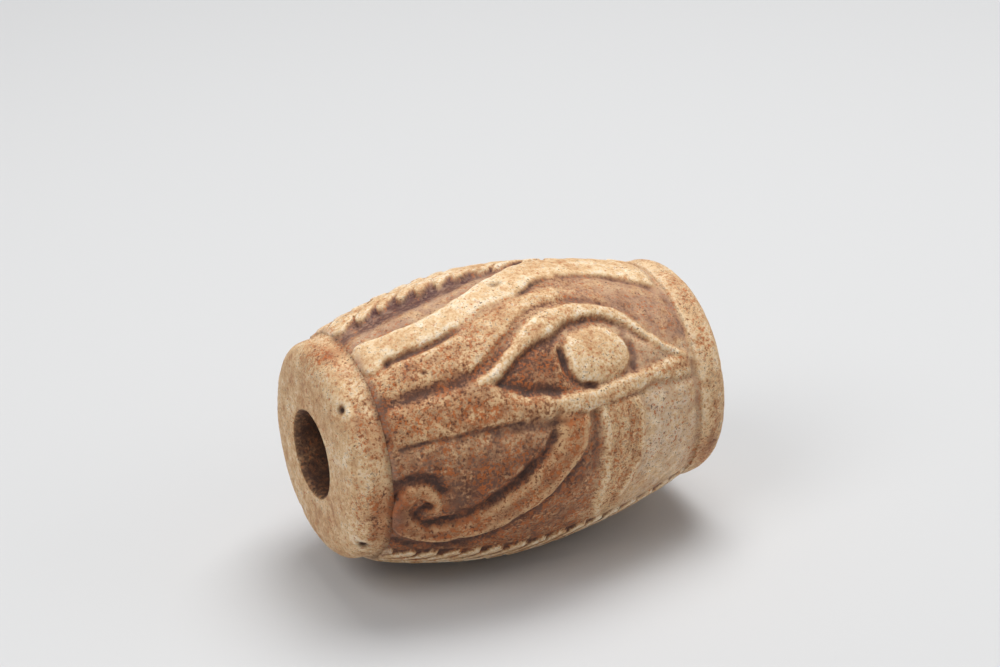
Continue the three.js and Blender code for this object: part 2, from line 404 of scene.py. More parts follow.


# The ground is deepest in the channel below the rope and shallow on the plain cheek. It is red-brown
# between the cosmetic line and the spiral and in the near corner of the eye, and mauve and pale towards
# the far collar. The slope between the cosmetic line and the spiral is also painted much darker, as
# painted shade.
GROUND_PATCHES = {
    "plain ground": Patch(depth=0.46, redness=0.65, tone=-0.07, mauve=0.3),
    "channel below the rope": Patch(
        percent=((60, 45),), degrees=((76, 80),),
        depth=0.04, redness=-0.3, tone=-0.05, mauve=0.5,
    ),
    "beside the lower rope": Patch(degrees=((-44, -48),), depth=0.14),
    "beside the upper rope": Patch(degrees=((93, 96),), depth=0.14),
    "white of the eye": Patch(percent=((60, 52), (33, 37)), degrees=((24, 30), (54, 48)), depth=0.06),
    "slope above the spiral": Patch(percent=((52, 44),), degrees=((24, 20),), depth=-0.018),
    "top of the slope": Patch(percent=((52, 44),), degrees=((24, 20), (-14, 20)), depth=-0.162),
    # Painted shade: this slope is painted much darker as well as redder.
    "red slope with painted shade": Patch(
        percent=((64, 54),), degrees=((24, -2),),
        redness=0.35, tone=-0.44, mauve=-0.15,
    ),
    "plain cheek": Patch(percent=((58, 66),), degrees=((22, 16),), depth=-0.14),
    "hollow under the brow": Patch(percent=((52, 60),), degrees=((58, 64),), depth=-0.12),
    "far corner of the eye": Patch(percent=((76, 80),), degrees=((26, 30), (64, 54)), depth=-0.16),
    "near corner of the eye": Patch(
        percent=((60, 54),), degrees=((24, 28), (54, 48)),
        redness=0.2, tone=-0.34, mauve=-0.25,
    ),
    "fold beside the temple": Patch(percent=((22, 34), (60, 52)), degrees=((56, 62), (84, 78)), depth=-0.22),
    "between temple and eye line": Patch(percent=((34, 26),), degrees=((38, 41), (48, 45)), depth=-0.12),
    "towards the far collar": Patch(percent=((68, 80),), redness=-0.4, tone=0.06, mauve=0.25),
    "above the upper lid": Patch(
        percent=((56, 66),), line=((80, 0), (100, -20)), past_line=((53, 61),),
        tone=-0.24,
    ),
    "below the brow": Patch(percent=((56, 66),), degrees=((62, 70),), redness=-0.2, tone=0.2),
    "below the spiral's arm": Patch(line=((25.238, -34), (110, 55)), past_line=((-1, -9),), tone=0.19),
}
# Where the temple band bends over the eye and meets the brow, the stone is plain and pale.
PLAIN_BEND = Patch(
    percent=((30, 42), (84, 70)), degrees=((78, 73),), line=((0, 30.4), (110, 96.4)),
    past_line=((0, 5),), redness=-0.65, tone=0.09,
)


def along_band(rows: list[tuple[float, float, float]]) -> np.ndarray:
    """Closed outline of a band that runs along the bead, from rows of percent, lower and upper edge."""
    lower = smooth_line([(percent, low) for percent, low, _ in rows], 4 * len(rows))
    upper = smooth_line([(percent, high) for percent, _, high in rows], 4 * len(rows))
    return np.vstack([lower, upper[::-1]])


def round_band(rows: list[tuple[float, float, float]]) -> np.ndarray:
    """Closed outline of a band that runs round the bead, from rows of degrees, near and far edge."""
    near = smooth_line([(start, degrees) for degrees, start, _ in rows], 4 * len(rows))
    far = smooth_line([(end, degrees) for degrees, _, end in rows], 4 * len(rows))
    return np.vstack([near, far[::-1]])


@dataclass(frozen=True)
class EyeDrawing:
    """The eye and all that belongs to its side of the bead, drawn flat.

    The bands are rows of percent, lower and upper edge in degrees. The cheek mark is rows of degrees, near
    and far edge in percent, and the spiral's arm rows of percent, degrees and half its width in millimetres.
    """

    form: BeadForm
    first_degree: float = -61.5
    rope_pitch: float = 2.1
    strand_width: float = 1.75
    rope_lean: float = 4.2
    strand_bend: float = 0.08
    strand_wander: float = 0.22
    row_degrees: float = 20.5
    brow_row_degree: float = 96.0
    cheek_row_degree: float = -60.5
    brow_gap_degrees: float = 3.0
    notch_share: float = 0.36
    notch_change: float = 0.55
    notch_power: float = 2.5
    far_notch: float = 0.75
    tip_share: float = 0.05
    lap_share: float = 0.26
    upper_row_wear: float = 0.84
    lower_row_wear: float = 0.7
    gap_reach: float = 3.3
    # Painted shade in the rope's gaps, and a painted highlight on its crests.
    gap_shade: float = 0.8
    crest_paleness: float = 0.42
    rope_level: float = -0.06
    rope_redness: float = 0.25
    rope_tone: float = 0.12
    brow: tuple = (
        (1.5, 65, 75), (3, 60.5, 79), (6, 60, 78.8), (8.5, 63.5, 78), (15, 64, 77), (21, 64.5, 77.2),
        (27, 65.5, 78), (33, 67.5, 80.5), (39, 70.5, 84), (45, 72, 88), (51, 73.5, 92), (58, 78.5, 98),
        (64, 81, 102), (70, 83, 105), (77, 82.5, 107), (84, 80.5, 107), (91, 76, 105.5), (96, 73, 104),
        (98.5, 77, 99),
    )
    temple: tuple = (
        (2.5, 47, 58), (9, 45.5, 60.5), (21, 45.5, 61.5), (30, 46.5, 63.5), (36, 50, 67), (42, 56, 69),
        (48, 61, 70.5), (56, 65.5, 74), (64, 68, 76),
    )
    cosmetic_line: tuple = (
        (2.5, 26, 36), (4.5, 22, 40.5), (14, 21.5, 41), (27, 21.5, 41), (32, 21.5, 40.5), (35, 21.5, 37),
        (42, 20.5, 31), (48, 19.5, 29), (53, 20, 27.5),
    )
    upper_lid: tuple = (
        (29, 38, 42), (34.5, 38.5, 44), (39, 42.5, 48.5), (45, 47.5, 55), (51, 50.5, 60), (57, 53, 63),
        (63, 56, 64.3), (69, 57, 64.3), (75, 54.5, 62), (79.5, 49.5, 58), (83, 44.5, 52), (87.5, 38.5, 44.5),
        (91, 35, 40), (94, 32, 36.5), (97.5, 29, 34),
    )
    lower_lid: tuple = (
        (44, 22, 28.5), (54, 19.5, 27.5), (60, 18.8, 27), (66, 19, 27), (75, 20.5, 28.5), (80, 22.3, 30),
        (84, 23.5, 30.8), (88, 22.8, 32), (93, 22, 33), (98, 21.8, 32.5),
    )
    cheek_mark: tuple = (
        (19.5, 63, 77), (10, 63.5, 78), (0, 63.5, 77.5), (-10, 62.5, 76.5), (-20, 61.5, 75),
        (-30, 62, 72), (-38.5, 63, 72),
    )
    spiral_arm: tuple = (
        (55, 19.5, 1.7), (52.5, 9, 1.65), (47.5, 0.3, 1.65), (41.5, -7.3, 1.65), (35.3, -13.3, 1.65),
        (28, -19, 1.65), (21, -22.5, 1.55), (14.5, -24.4, 1.4),
    )
    curl_place: tuple = (8.7, -10.0)
    curl_start_radius: float = 2.7
    curl_end_radius: float = 1.5
    curl_slimness: float = 0.8
    curl_half_width: float = 0.8
    curl_end_half_width: float = 0.4
    curl_degrees: float = 290.0
    curl_steps: int = 9
    iris_place: tuple = (67.2, 40.3)
    iris_half_length: float = 3.5
    iris_half_degrees: float = 12.5

    def per_degree(self, percent: float) -> float:
        """Millimetres in one degree round the bead at a percentage of the panel."""
        x = self.form.panel_start + percent * self.form.per_percent
        return float(np.radians(self.form.envelope(np.array(x))))

    def spiral(self) -> np.ndarray:
        """Closed outline of the spiral: its arm, then a curl whose radius shrinks as it turns in.

        The edges stand off the centre line by its half width, square to it on the surface.
        """
        share = np.arange(1, self.curl_steps + 1) / self.curl_steps
        turned = np.radians(self.curl_degrees * share)
        radius = blend(self.curl_start_radius, self.curl_end_radius, share)
        percent = self.curl_place[0] - self.curl_slimness * radius * np.sin(turned) / self.form.per_percent
        degrees = self.curl_place[1] - radius * np.cos(turned) / self.per_degree(self.curl_place[0])
        neck = blend(self.spiral_arm[-1][2], self.curl_half_width, np.minimum(3.0 * share, 1.0))
        width = blend(neck, self.curl_end_half_width, share**4)
        rows = np.vstack([self.spiral_arm, np.column_stack([percent, degrees, width])])
        centre = smooth_line([tuple(row[:2]) for row in rows], 90)
        half = np.interp(np.linspace(0, len(rows) - 1, 90), np.arange(len(rows)), rows[:, 2])
        measure = np.column_stack([
            np.full(90, self.form.per_percent),
            [self.per_degree(place) for place in centre[:, 0]],
        ])
        direction = np.gradient(centre, axis=0) * measure
        direction /= np.linalg.norm(direction, axis=1)[:, None]
        side = np.column_stack([-direction[:, 1], direction[:, 0]]) * half[:, None] / measure
        return np.vstack([centre + side, (centre - side)[::-1]])

    def iris(self) -> np.ndarray:
        """Closed oval outline of the eyeball, a little fuller than an ellipse."""
        turn = np.linspace(0.0, 2.0 * np.pi, 48, endpoint=False)
        half_length = self.iris_half_length / self.form.per_percent
        across = np.sign(np.cos(turn)) * np.abs(np.cos(turn)) ** 0.94
        along = np.sign(np.sin(turn)) * np.abs(np.sin(turn)) ** 0.94
        return np.column_stack([
            self.iris_place[0] + half_length * across,
            self.iris_place[1] + self.iris_half_degrees * along,
        ])

    def forms(self) -> list[CarvedForm]:
        """The raised forms, each with the softness, the groove beside it and the redness that it shows."""
        return [
            CarvedForm(
                along_band(self.brow), shoulder=0.18, shoulder_width=1.4, wall=0.6,
                groove=0.02, redness=0.08, tone=0.1,
            ),
            CarvedForm(
                along_band(self.temple), level=-0.14, shoulder=0.1, shoulder_width=1.4, wall=0.9,
                groove=0.0, redness=0.7, tone=-0.06,
            ),
            CarvedForm(
                along_band(self.cosmetic_line), level=-0.03, shoulder=0.2, shoulder_width=1.4, wall=0.8,
                groove=0.03, redness=0.85, tone=-0.16,
            ),
            CarvedForm(
                along_band(self.upper_lid), shoulder=0.2, shoulder_width=0.8, wall=0.55,
                groove=0.05, redness=0.3, tone=0.04,
            ),
            CarvedForm(
                along_band(self.lower_lid), level=-0.06, shoulder=0.18, shoulder_width=0.8, wall=0.6,
                groove=0.06, redness=0.45, tone=0.02,
            ),
            CarvedForm(
                self.iris(), level=-0.02, shoulder=0.36, shoulder_width=2.6, wall=0.5,
                groove=0.08, redness=0.2, tone=0.03,
            ),
            CarvedForm(
                round_band(self.cheek_mark), level=-0.16, shoulder=0.12, wall=0.7,
                groove=0.03, redness=0.7, tone=0.06,
            ),
            CarvedForm(
                self.spiral(), shoulder=0.2, shoulder_width=0.9, wall=0.55,
                groove=0.1, redness=1.25, tone=-0.1,
            ),
        ]

    def lines(self) -> list[ScoredLine]:
        """Deeper cuts beside the forms, painted dark as dirt and painted shade, and fine ridges on them,
        painted pale as wear and a painted highlight.
        """
        return [
            ScoredLine(
                [(40, 2.2), (36, -2.4), (28.6, -9.4), (21.1, -15.2), (15, -18.2), (11, -19)], 0.42, 0.6, 0.9,
            ),
            ScoredLine([(48, 13.5), (46, 10), (43.5, 6.5), (40, 2.2), (37, -1.3)], 0.3, 0.42, 0.75),
            ScoredLine([(13.5, -19), (9.4, -17.8), (7.6, -14.4), (8.4, -10.8), (10.8, -9)], 0.38, 0.46, 1.1),
            ScoredLine(
                [(2, -3.5), (2.4, 2), (4.5, 5.5), (8.5, 6.2), (12.5, 3.6), (15, -1.5)], 0.42, 0.5, 1.15,
            ),
            ScoredLine([(3, -32.5), (8, -35), (15, -35.8), (22, -33.8), (30, -29.2)], 0.24, 0.6, 1.15),
            ScoredLine([(30, -28.6), (36, -23), (43, -15.8), (50, -7.8), (56, -0.5)], 0.1, 0.3, 0.6),
            ScoredLine([(62, 17), (61.3, 8), (60.5, -6)], 0.2, 0.5, 0.4),
            ScoredLine([(8.5, 62.2), (15, 62.5), (22, 63), (29, 65)], 0.24, 0.36, 0.75),
            ScoredLine([(52, 73.5), (56, 77), (59.5, 80.3), (64, 81.5)], 0.16, 0.36, 0.6),
            ScoredLine([(68, 83.5), (77, 82.3), (84, 80), (91, 75), (95, 71.5)], 0.16, 0.4, 0.6),
            ScoredLine([(1.5, 43.5), (12, 43.3), (20, 43), (28, 44)], 0.08, 0.7, 0.35),
            ScoredLine(
                [(28, 44), (34, 49), (42, 56.5), (50, 63), (58, 66.3), (66, 67.3), (72, 66.5)],
                0.14, 0.32, 0.35,
            ),
            ScoredLine([(0, 92.5), (15, 92.5), (32, 92.5)], 0.3, 1.15, 1.0),
            ScoredLine([(30, 92.5), (40, 94), (50, 98)], 0.2, 0.9, 0.7),
            ScoredLine([(5, 21), (14, 21.2), (24, 22), (33, 21.5), (39, 20.5)], 0.1, 0.26, 0.7),
            ScoredLine([(30, 20), (38, 18.5), (46, 17.5), (55, 17.5), (62, 17)], 0.14, 0.5, 0.35),
            ScoredLine([(34, 38.5), (40, 43), (46, 47.5), (51, 50)], 0.12, 0.42, 0.4),
            ScoredLine(
                [(55, 50.5), (60, 54.3), (66, 56), (73, 55), (78, 51), (81.5, 46), (84.5, 42.5)],
                0.18, 0.44, 0.5,
            ),
            ScoredLine([(77.6, 46.5), (78.8, 40), (78, 32)], 0.28, 0.44, 0.65),
            ScoredLine([(56.2, 45), (56, 37), (58.3, 31), (63, 27.6)], 0.3, 0.42, 0.85),
            ScoredLine([(54, 46), (53.6, 38), (55, 31)], -0.2, 0.3, -0.35),
            ScoredLine([(36, 37.5), (40, 34.5), (45, 31.5), (51, 29)], 0.18, 0.6, 0.8),
            ScoredLine([(47.5, 20.5), (47.3, 27)], -0.05, 0.35, -0.5),
            ScoredLine([(6, 24), (20, 23.5), (34, 24)], -0.03, 0.5, -0.25),
            ScoredLine([(3.5, -25.3), (8, -27.6), (14, -27.9), (22, -25.6), (31, -20.8)], -0.16, 0.6, -1.4),
            ScoredLine(
                [(31, -20.8), (40, -12.4), (48, -3.6), (55, 3.6), (58.2, 10), (59.3, 17)], -0.16, 0.5, -1.1,
            ),
            ScoredLine([(76.5, 17), (77.3, 8), (76.5, -5), (74, -15), (70, -26)], -0.17, 0.36, -0.8),
            ScoredLine([(65, 14), (64.5, -3), (63.8, -20), (64, -36)], -0.1, 0.46, -0.5),
            ScoredLine([(71, 13), (70.5, 3), (67.5, -10)], -0.04, 0.34, -0.25),
            ScoredLine([(68, 15), (68.3, 6), (66.5, -6)], 0.05, 0.3, 0.2),
            ScoredLine([(72.7, 15), (72.7, 6), (70, -4)], 0.05, 0.28, 0.25),
            ScoredLine([(75, 9), (74, -3), (71, -16), (68, -32)], 0.05, 0.34, 0.2),
            ScoredLine([(34, 47.5), (42, 55), (50, 61.5), (57, 64.5)], -0.05, 0.4, -0.4),
            ScoredLine([(28, 41.5), (34, 43.5), (40, 49)], -0.04, 0.5, -0.35),
            ScoredLine([(82, 39.5), (85, 39)], -0.12, 0.8, -0.9),
            ScoredLine([(80, 78), (88, 74), (94, 69)], 0.05, 0.5, 0.2),
        ]

    def rope(self, field: PanelField, low: float, follows_brow: bool) -> RopeRow:
        """Works out one row of rope strands.

        A strand leans evenly across its row with a slight bend at both edges, and wanders a little from
        its even place. Its section steps up at one side and falls to the other as a root, so that each
        strand laps over the next, and it is worn nearly flat. The notches between the strands' ends are a
        power of the distance from a strand's middle, longer beside some strands than beside others.

        Args:
            field: Places of all points in the drawing.
            low: Degree at which the row starts.
            follows_brow: Whether the brow cuts the row's strands short.

        Returns:
            The row's rise, gaps and crests.
        """
        share = (field.degrees - low) / self.row_degrees
        place = field.percent * self.form.per_percent
        first = self.strand_width / 2.0 + 0.5 * self.form.per_percent
        leaned = self.rope_lean * (share - self.strand_bend * np.sin(2.0 * np.pi * share))
        phase = (place - first - leaned) / self.rope_pitch + 0.5
        still = np.full_like(phase, low)
        phase = phase + self.strand_wander * value_noise(np.stack([phase, still, still], axis=-1), 2.7, 31)
        across = phase - np.floor(phase)
        length = 1.0 + self.notch_change * value_noise(np.stack([phase, still, still], axis=-1), 1.0, 33)
        notch = self.notch_share * length * np.abs(2.0 * across - 1.0) ** self.notch_power
        lapped = smooth_step(0.0, self.lap_share, across) * np.sqrt(1.0 - across)
        start = np.zeros_like(share)
        if follows_brow:
            top = np.interp(field.percent, [row[0] for row in self.brow], [row[2] for row in self.brow])
            start = np.clip((top + self.brow_gap_degrees - low) / self.row_degrees, 0.0, 0.9)
        from_start = share - start
        from_end = 1.0 - share
        tips = smooth_step(0.0, self.tip_share, from_start - notch)
        tips = tips * smooth_step(0.0, self.tip_share, from_end - self.far_notch * notch)
        middle = smooth_step(0.12, 0.34, from_start) * smooth_step(0.06, 0.2, from_end)
        worn = self.upper_row_wear if follows_brow else self.lower_row_wear
        inside = smooth_step(0.4, 1.6, field.percent) * smooth_step(0.4, 1.6, 100.0 - field.percent)
        in_row = smooth_step(-0.04, 0.04, from_start) * smooth_step(-0.04, 0.04, from_end) * inside
        return RopeRow(
            rise=blend(lapped, 1.0, worn) * tips * inside,
            gaps=in_row * (1.0 - blend(1.0, lapped, middle * self.gap_reach * (1.0 - worn)) * tips),
            crests=in_row * tips * (1.0 - middle),
        )

    def relief(self, field: PanelField) -> Relief:
        """Adds up the carving: each form rises from the ground by a soft wall to its rounded top.

        Beside a form the ground is cut deeper, by a bell curve of the distance from its edge. Every point
        takes its redness and tone from the form that stands highest there.

        Args:
            field: Places of all points in the drawing.

        Returns:
            Height, raised share and colour values at every point.
        """
        added = {name: np.zeros(field.percent.shape) for name in ("depth", "redness", "tone", "mauve")}
        for patch in GROUND_PATCHES.values():
            share = patch.share(field)
            for name, total in added.items():
                total += getattr(patch, name) * share
        ground = -added["depth"]
        walls, tops, grooves, reds, tones = [], [], np.zeros_like(ground), [], []
        for form in self.forms():
            distance, inside = field.distance(form.outline, closed=True)
            depth_in = np.where(inside, distance, -distance)
            walls.append(smooth_step(-form.wall / 2.0, form.wall / 2.0, depth_in))
            near_edge = 1.0 - np.clip(depth_in / form.shoulder_width, 0.0, 1.0)
            tops.append(form.level - form.shoulder * near_edge**2)
            outside = np.clip(-depth_in, 0.0, None) / form.groove_width
            grooves = np.maximum(grooves, form.groove * np.exp(-(outside**2)))
            reds.append(form.redness)
            tones.append(form.tone)
        shade = np.zeros_like(ground)
        for low, follows_brow in ((self.brow_row_degree, True), (self.cheek_row_degree, False)):
            row = self.rope(field, low, follows_brow)
            # The gaps between the strands are painted dark, as painted shade, and the crests paler, as a
            # painted highlight.
            dark = self.gap_shade * smooth_step(0.35, 0.95, row.gaps) * field.wear
            shade = np.maximum(shade, dark) - self.crest_paleness * row.crests
            walls.append(row.rise)
            tops.append(np.full_like(ground, self.rope_level))
            reds.append(self.rope_redness)
            tones.append(self.rope_tone)
        raised = np.max(walls, axis=0)
        base = ground - grooves * (1.0 - raised)
        rises = [wall * (top - base) for wall, top in zip(walls, tops)]
        height = base + np.max(rises, axis=0)
        highest = np.argmax(rises, axis=0)
        # Each cut line is painted dark, as dirt and painted shade; a ridge with negative shade is painted
        # pale, as wear and a painted highlight.
        for line in self.lines():
            distance, _ = field.distance(smooth_line(line.points, 6 * len(line.points)), closed=False)
            near = np.exp(-((distance / line.width) ** 2)) * field.wear
            height = height - line.depth * near
            shade = np.where(np.abs(line.shade) * near > np.abs(shade), line.shade * near, shade)
        plain = PLAIN_BEND.share(field)
        redness = blend(added["redness"], np.array(reds)[highest], raised)
        return Relief(
            height=height,
            raised=raised,
            redness=redness * (1.0 + PLAIN_BEND.redness * plain),
            tone=blend(added["tone"], np.array(tones)[highest], raised) + PLAIN_BEND.tone * plain,
            mauve=added["mauve"] * (1.0 - raised),
            shade=shade,
        )


@dataclass(frozen=True)
class Dent:
    """A chip or pit: where it is, how wide and deep, and whether it holds dark dirt."""

    place: tuple[float, float, float]
    radius: float
    depth: float
    dark: float


@dataclass(frozen=True)
class Stain:
    """A soft patch where the stone is redder than the rest."""

    place: tuple[float, float, float]
    radius: float
    redness: float
    tone: float


@dataclass
class Surface:
    """How far every mesh point stands off the outline, and the values that the finish reads there."""

    rise: np.ndarray
    raised: np.ndarray
    gutter: np.ndarray
    redness: np.ndarray
    tone: np.ndarray
    mauve: np.ndarray
    shade: np.ndarray
    dark: np.ndarray

    def point_values(self) -> dict[str, np.ndarray]:
        """Gives the finish its values by name.

        Hollows lie below a broad average of the rise, but not in the gutters; the finish paints them darker,
        as painted shade with a little dirt. Proud edges stand above a fine average; the finish paints them
        paler, as wear and a painted highlight.

        Returns:
            One value for each mesh point under each name.
        """
        # Painted shade in the hollows, and wear with a painted highlight on the proud edges.
        hollow = np.clip((soften(self.rise, 9) - self.rise) / 0.35, 0.0, 1.0)
        return {
            "hollow": hollow * (1.0 - 0.7 * np.clip(self.gutter, 0.0, 1.0)),
            "proud": np.clip((self.rise - soften(self.rise, 3)) / 0.06, 0.0, 1.0),
            "redness": self.redness,
            "tone": self.tone,
            "mauve": self.mauve,
            "shade": self.shade,
            "dark": self.dark,
        }


@dataclass
class StoneBead:
    """The whole bead as one closed mesh with the carving in it and what the finish needs at each point.

    The unevenness of old stone and the wander of the carver's hand, along and round the bead, are sums of
    noises, given as rows of millimetres, cell, layers and seed.
    """

    form: BeadForm
    drawing: EyeDrawing
    columns: int = 372
    panel_rings: int = 172
    face_rings: int = 24
    bore_rings: int = 34
    step_width: float = 0.6
    half_turn: float = 180.0
    gutter_place: float = 0.6
    gutter_width: float = 0.55
    gutter_depth: float = 0.12
    halo: float = 0.1
    nick_depth: float = 0.12
    unevenness: tuple = ((0.06, 9.0, 1, 21), (0.03, 3.1, 1, 22), (0.03, 1.1, 3, 23))
    wander_along: tuple = ((0.14, 7.0, 1, 11), (0.13, 1.5, 3, 13))
    wander_round: tuple = ((0.14, 7.0, 1, 13), (0.13, 1.5, 3, 15))
    dents: tuple[Dent, ...] = (
        Dent((-19.33, -6.48, 7.32), 0.36, 0.4, 1.3),
        Dent((-18.74, -8.31, -6.15), 0.46, 0.5, 1.5),
        Dent((-18.85, -8.0, -5.5), 0.34, 0.3, 1.3),
        Dent((-1.3, -1.97, 14.05), 0.45, 0.2, 0.6),
        Dent((-0.7, -1.9, 14.05), 0.3, 0.12, 0.5),
        Dent((-11.6, -8.0, 9.9), 0.24, 0.25, 1.0),
    )
    stains: tuple[Stain, ...] = (
        Stain((-17.4, -10.4, -1.5), 2.3, 1.0, -0.12),
        Stain((-17.6, -9.8, -5.0), 1.6, 0.8, -0.06),
        Stain((-18.4, -1.2, 10.4), 1.9, 1.0, 0.02),
        Stain((-17.5, -9.0, 5.4), 1.8, 0.6, -0.05),
        Stain((17.5, -9.6, -4.5), 2.6, 0.6, -0.1),
        Stain((18.0, -6.0, 9.0), 1.8, 0.3, 0.04),
    )

    def field(self, outline: Outline, angle: np.ndarray, drift: np.ndarray, wear: np.ndarray) -> PanelField:
        """Places of the panel's points in the drawing, which repeats every half turn.

        Args:
            outline: The bead's outline.
            angle: Degrees round the bead of each column.
            drift: Small wander of the carver's hand at each panel point, in millimetres.
            wear: How much of each cut line is left at each panel point, about 1.

        Returns:
            The field that the drawing is worked out on.
        """
        rings = outline.part == Part.PANEL.value
        x = outline.x[rings][:, None]
        per_degree = np.radians(self.form.envelope(x)) * np.ones((1, len(angle)))
        percent = (x - self.form.panel_start + drift[..., 0]) / self.form.per_percent
        first = self.drawing.first_degree
        degrees = (angle[None, :] + drift[..., 1] / per_degree - first) % self.half_turn + first
        return PanelField(percent, degrees, self.form.per_percent, per_degree, wear)

    def places(self, outline: Outline, angle: np.ndarray, rise: np.ndarray) -> np.ndarray:
        """Points of the surface: each ring's outline point moved out by the rise, turned round the hole."""
        normal_x, normal_radius = outline.normals()
        x = outline.x[:, None] + normal_x[:, None] * rise
        radius = outline.radius[:, None] + normal_radius[:, None] * rise
        turn = np.radians(angle)[None, :]
        return np.stack([x, -radius * np.cos(turn), radius * np.sin(turn)], axis=-1)

    def uncarved(self, outline: Outline) -> Surface:
        """Gives the plain bead the collars' colour: paler at the hole's mouths, redder towards the panel, and
        painted light on the far collar.

        Args:
            outline: The bead's outline.

        Returns:
            The surface before it is carved.
        """
        nought = np.zeros((len(outline.x), self.columns))
        depth_in = (self.form.half_length - np.abs(outline.x))[:, None]
        rim = smooth_step(1.0, 2.6, depth_in) + nought
        # Painted light: the far collar is painted paler.
        painted_light_far_rim = rim * (outline.x > 0.0)[:, None]
        return Surface(
            rise=nought.copy(),
            raised=nought + 1.0,
            gutter=nought.copy(),
            redness=0.1 + 0.65 * rim,
            tone=0.06 - 0.11 * rim + 0.13 * painted_light_far_rim,
            mauve=0.15 - 0.1 * rim,
            shade=nought.copy(),
            dark=nought.copy(),
        )

    def carve(self, surface: Surface, outline: Outline, angle: np.ndarray, plain: np.ndarray) -> None:
        """Lays the carving on the panel, with a soft step up to each collar and a shallow gutter beside it.

        Args:
            surface: Gets the carving's rise and colour.
            outline: The bead's outline.
            angle: Degrees round the bead of each column.
            plain: Places of all points before they are carved.
        """
        rings = outline.part == Part.PANEL.value
        panel = plain[rings]
        drift = np.stack([noise_sum(panel, rows) for rows in (self.wander_along, self.wander_round)], axis=-1)
        wear = np.clip(0.95 + 0.4 * layered_noise(panel, 1.5, 2, 17), 0.3, 1.3)
        relief = self.drawing.relief(self.field(outline, angle, drift, wear))
        x = outline.x[rings][:, None]
        after_near = x - self.form.panel_start
        before_far = self.form.panel_end - x
        from_near = smooth_step(0.0, self.step_width, after_near)
        from_far = smooth_step(0.0, self.step_width, before_far)
        inside = from_near * from_far
        envelope = self.form.envelope(x)
        carved = blend(self.form.near_collar_radius - envelope, relief.height, from_near)
        gutter = sum(
            np.exp(-(((away - self.gutter_place) / self.gutter_width) ** 2))
            for away in (after_near, before_far)
        )
        surface.rise[rings] = blend(self.form.far_collar_radius - envelope, carved, from_far)
        surface.rise[rings] -= self.gutter_depth * gutter * wear
        surface.raised[rings] = blend(1.0, relief.raised, inside)
        surface.gutter[rings] = gutter
        surface.redness[rings] = blend(0.3, relief.redness, inside)
        surface.tone[rings] = blend(0.18, relief.tone, inside)
        surface.mauve[rings] = np.maximum(blend(0.1, relief.mauve, inside), 0.7 * gutter)
        # The gutter beside each collar is painted darker, as dirt and painted shade.
        surface.shade[rings] = blend(relief.shade, 0.4, np.clip(0.7 * gutter * wear, 0.0, 1.0))

    def wear_down_and_shade_bore(self, surface: Surface, outline: Outline, plain: np.ndarray) -> None:
        """Adds the unevenness and nicks of old stone, and paints shade into the bore, darker from its mouths
        inwards.

        Args:
            surface: Gets the rise and the shade.
            outline: The bead's outline.
            plain: Places of all points before they are carved.
        """
        uneven = noise_sum(plain, self.unevenness)
        nicks = self.nick_depth * smooth_step(0.45, 0.9, value_noise(plain, 1.3, 27))
        depth_in = (self.form.half_length - np.abs(outline.x))[:, None]
        in_bore = (outline.part == Part.BORE.value)[:, None]
        surface.rise += np.where(in_bore, 0.5, 1.0) * uneven - nicks * (0.3 + 0.7 * surface.raised)
        # Painted shade in the string hole, darker away from its mouths.
        surface.shade = np.maximum(surface.shade, in_bore * (0.62 + 0.9 * smooth_step(0.0, 0.9, depth_in)))
        surface.mauve = np.where(in_bore, 0.0, surface.mauve)
        surface.redness = np.where(in_bore, 0.0, surface.redness)

    def mark(self, surface: Surface, plain: np.ndarray) -> None:
        """Adds the dents, each with a pale ring round it, and the stains, as bell curves of the distance.

        Args:
            surface: Gets the rise and the colour.
            plain: Places of all points before they are carved.
        """
        for dent in self.dents:
            away = np.linalg.norm(plain - np.array(dent.place), axis=-1) / dent.radius
            surface.rise -= dent.depth * np.exp(-(away**2))
            surface.dark = np.maximum(surface.dark, dent.dark * np.exp(-(away**2)))
            surface.tone += dent.dark * self.halo * np.exp(-((away - 2.0) ** 2))
        for stain in self.stains:
            near = np.exp(-((np.linalg.norm(plain - np.array(stain.place), axis=-1) / stain.radius) ** 2))
            surface.redness += stain.redness * near
            surface.tone += stain.tone * near

    def build(self, name: str) -> bpy.types.Object:
        """Makes the mesh object.

        Args:
            name: Name of the piece.

        Returns:
            The new object, with its place in its mesh.
        """
        outline = Outline.of(self.form, self.panel_rings, self.face_rings, self.bore_rings)
        angle = np.linspace(-180.0, 180.0, self.columns, endpoint=False)
        plain = self.places(outline, angle, np.zeros((len(outline.x), self.columns)))
        surface = self.uncarved(outline)
        self.carve(surface, outline, angle, plain)
        self.wear_down_and_shade_bore(surface, outline, plain)
        self.mark(surface, plain)
        points = self.places(outline, angle, surface.rise)
        points[..., 2] = np.maximum(points[..., 2], self.form.flat_level)
        points[..., 0] = np.clip(points[..., 0], -self.form.half_length, self.form.half_length)
        bead = self.mesh_object(name, points)
        for label, values in surface.point_values().items():
            attribute = bead.data.attributes.new(label, "FLOAT", "POINT")
            attribute.data.foreach_set("value", np.ascontiguousarray(values, np.float32).ravel())
        return bead

    def mesh_object(self, name: str, points: np.ndarray) -> bpy.types.Object:
        """Joins a grid of points, closed both ways, into a smooth mesh of four-sided faces facing out."""
        rings, columns = points.shape[:2]
        ring = np.arange(rings)[:, None]
        column = np.arange(columns)[None, :]
        next_ring = (ring + 1) % rings
        next_column = (column + 1) % columns
        faces = np.stack([
            ring * columns + column,
            next_ring * columns + column,
            next_ring * columns + next_column,
            ring * columns + next_column,
        ], axis=-1).reshape(-1, 4)
        mesh = bpy.data.meshes.new(name)
        mesh.from_pydata((points * MM).reshape(-1, 3), [], faces)
        mesh.update()
        mesh.shade_smooth()
        bead = bpy.data.objects.new(name, mesh)
        bpy.context.scene.collection.objects.link(bead)
        return bead


